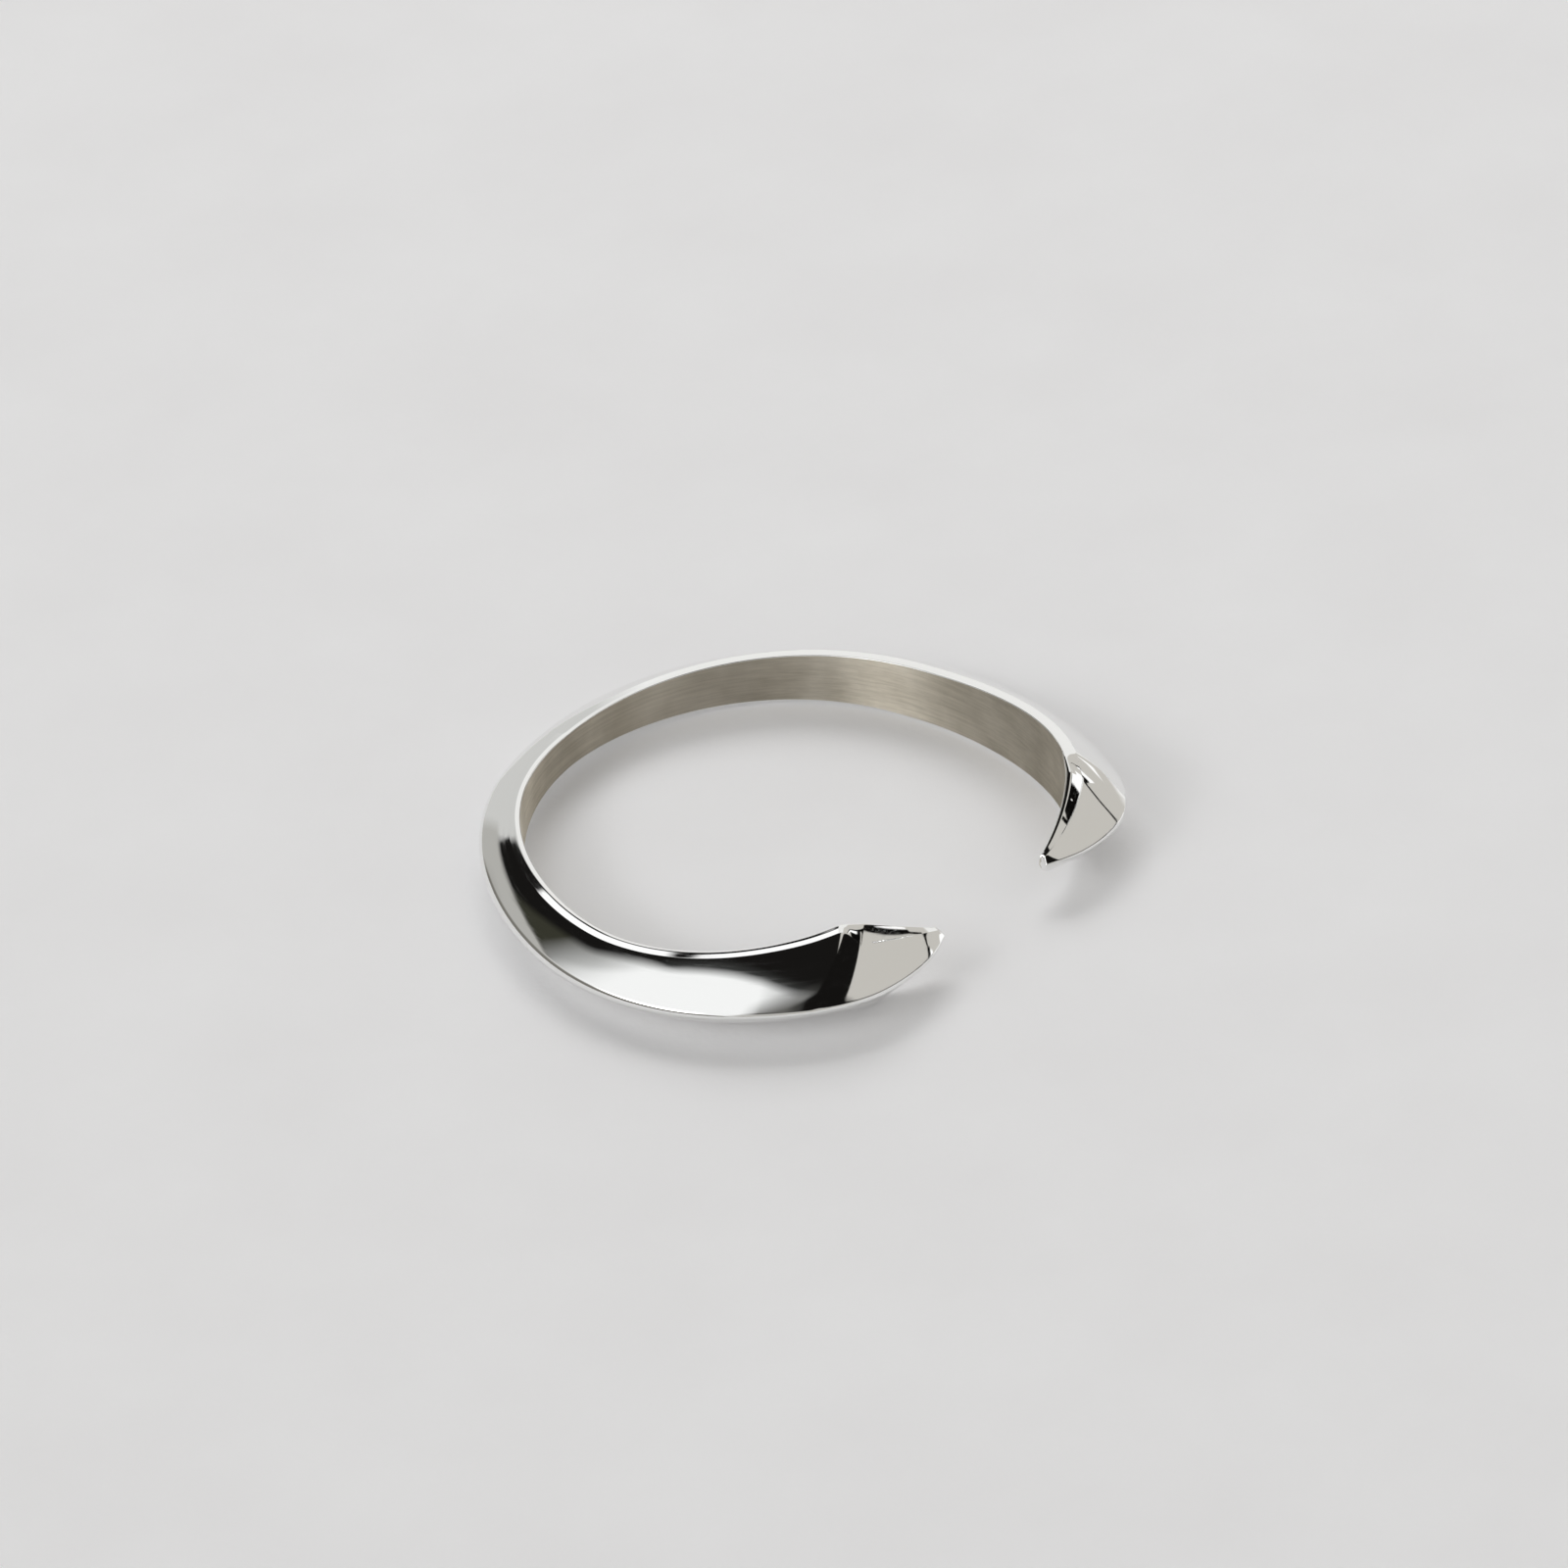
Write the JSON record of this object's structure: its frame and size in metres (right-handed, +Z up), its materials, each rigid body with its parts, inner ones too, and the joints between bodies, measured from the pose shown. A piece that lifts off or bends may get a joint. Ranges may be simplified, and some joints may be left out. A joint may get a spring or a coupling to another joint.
{
  "type": "open cuff ring",
  "caption": "Open cuff ring: a ridged one-piece metal band, open at one side, whose faceted spearhead ends face each other across the gap; worn on a finger.",
  "frame": {"origin": "on the surface the ring lies on, under the middle of its outline", "axes": "+Z up from the surface; the gap between the two ends faces -Y; +X is towards the right-hand end seen from the gap"},
  "size_m": [0.0208, 0.0196, 0.0031],
  "materials": {
    "polished_silver": "mirror polish outside, fine satin in the bore"
  },
  "bodies": {
    "root": {"open_cuff_ring": "polished_silver"}
  },
  "joints": []
}
